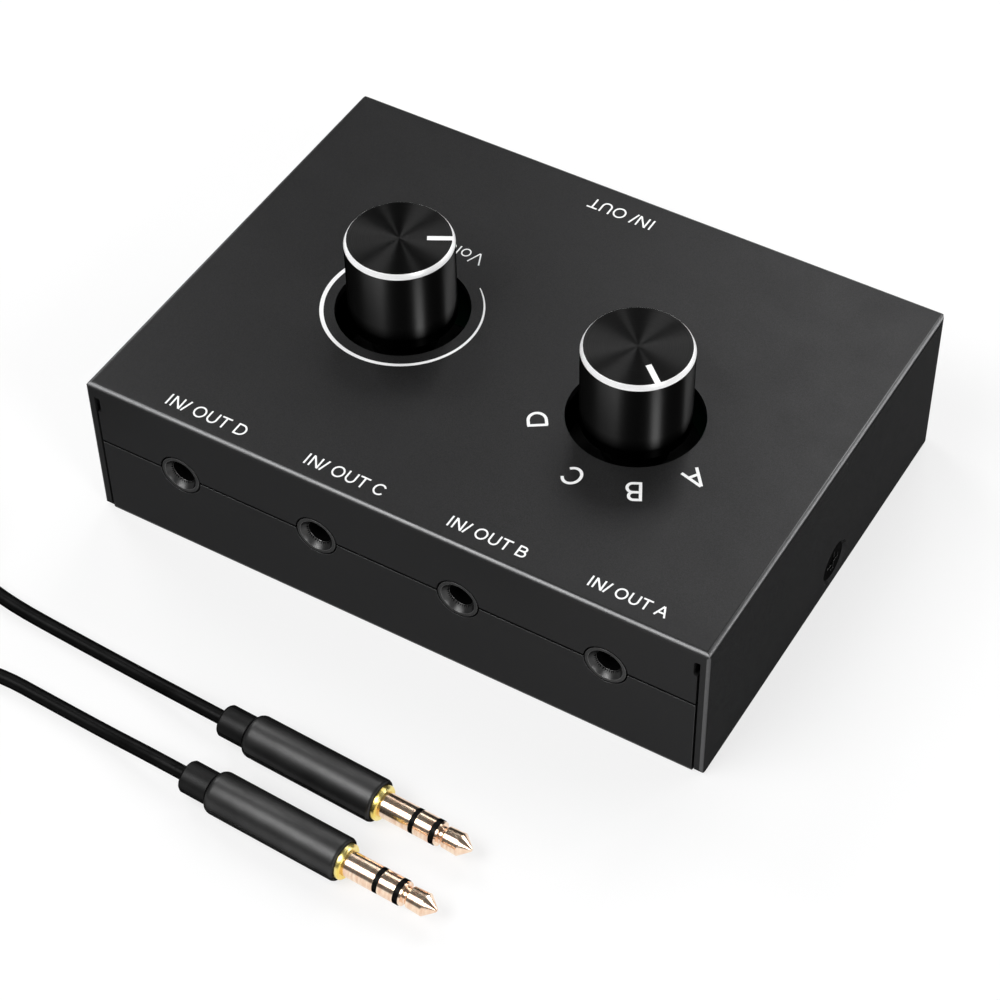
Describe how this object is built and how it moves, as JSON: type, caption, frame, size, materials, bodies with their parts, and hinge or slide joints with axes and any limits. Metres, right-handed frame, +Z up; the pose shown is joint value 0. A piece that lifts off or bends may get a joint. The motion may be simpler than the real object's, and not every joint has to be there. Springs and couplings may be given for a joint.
{
  "type": "speaker selector switch",
  "caption": "Passive stereo selector box: a row of 3.5 mm jacks on one face, a jack behind, a volume dial, a rotary source dial and a plug-to-plug lead.",
  "frame": {"origin": "middle of the case's underside, at the surface it stands on", "axes": "+X along the four-jack face, to the right for someone facing it; +Y from the four-jack face to the single-jack face; +Z up"},
  "size_m": [0.137, 0.1146, 0.0375],
  "materials": {
    "case_paint": "fine-textured satin black powder coat",
    "zinc_steel": "zinc-plated steel",
    "black_steel": "black oxide steel",
    "board_laminate": "solder-masked glass laminate",
    "jack_plastic": "moulded black nylon",
    "tinned_bronze": "tin-plated spring bronze",
    "knob_aluminium": "turned aluminium, gloss black anodised, bright bevel",
    "pointer_paint": "white filled line",
    "core_plastic": "moulded ABS",
    "shaft_steel": "turned steel",
    "zinc_casting": "die-cast zinc",
    "cup_steel": "pressed steel",
    "wafer_board": "phenolic laminate",
    "carbon_track": "carbon ink",
    "rotor_plastic": "natural acetal",
    "plug_shell": "satin black shell",
    "cable_rubber": "soft PVC",
    "plug_gold": "gold-plated brass",
    "contact_gold": "rose-gold plated brass",
    "plug_insulator": "black moulded ring"
  },
  "bodies": {
    "case": {"top_cover": "case_paint", "base_tray": "case_paint", "side_screws": "black_steel", "circuit_board": "board_laminate", "board_standoffs": "zinc_steel", "board_screws": "zinc_steel", "volume_bushing": "zinc_casting", "volume_wafer": "wafer_board", "volume_terminals": "tinned_bronze", "volume_tracks": "carbon_track", "volume_cup": "cup_steel", "selector_bushing": "zinc_casting", "selector_wafer": "wafer_board", "selector_contacts": "tinned_bronze", "selector_cup": "zinc_casting", "cord_lead_1": "cable_rubber", "cord_lead_2": "cable_rubber", "cord_coil": "cable_rubber", "cord_tie": "cable_rubber", "jack_housing_d": "jack_plastic", "jack_contacts_d": "tinned_bronze", "jack_housing_c": "jack_plastic", "jack_contacts_c": "tinned_bronze", "jack_housing_b": "jack_plastic", "jack_contacts_b": "tinned_bronze", "jack_housing_a": "jack_plastic", "jack_contacts_a": "tinned_bronze", "jack_housing_rear": "jack_plastic", "jack_contacts_rear": "tinned_bronze", "plug_1_shell": "plug_shell", "plug_1_relief": "cable_rubber", "plug_1_flange": "plug_gold", "plug_1_sleeve": "contact_gold", "plug_1_ring": "contact_gold", "plug_1_insulator": "plug_insulator", "plug_1_tip": "contact_gold", "plug_2_shell": "plug_shell", "plug_2_relief": "cable_rubber", "plug_2_flange": "plug_gold", "plug_2_sleeve": "contact_gold", "plug_2_ring": "contact_gold", "plug_2_insulator": "plug_insulator", "plug_2_tip": "contact_gold"},
    "volume_dial": {"volume_knob": "knob_aluminium", "volume_pointer": "pointer_paint", "volume_knob_core": "core_plastic", "volume_shaft": "shaft_steel", "volume_rotor": "rotor_plastic", "volume_wiper": "tinned_bronze"},
    "selector_dial": {"selector_knob": "knob_aluminium", "selector_pointer": "pointer_paint", "selector_knob_core": "core_plastic", "selector_shaft": "shaft_steel", "selector_rotor": "rotor_plastic", "selector_balls": "shaft_steel", "selector_springs": "shaft_steel", "selector_wiper": "tinned_bronze"}
  },
  "joints": [
    {"name": "volume_turn", "type": "hinge", "parent": "case", "child": "volume_dial", "pos_m": [-0.018, -0.0013, 0.03], "axis": [0, 0, 1], "range_deg": [-259, 21]},
    {"name": "selector_turn", "type": "hinge", "parent": "case", "child": "selector_dial", "pos_m": [0.0198, -0.0034, 0.03], "axis": [0, 0, 1], "range_deg": [-90, 0]}
  ]
}
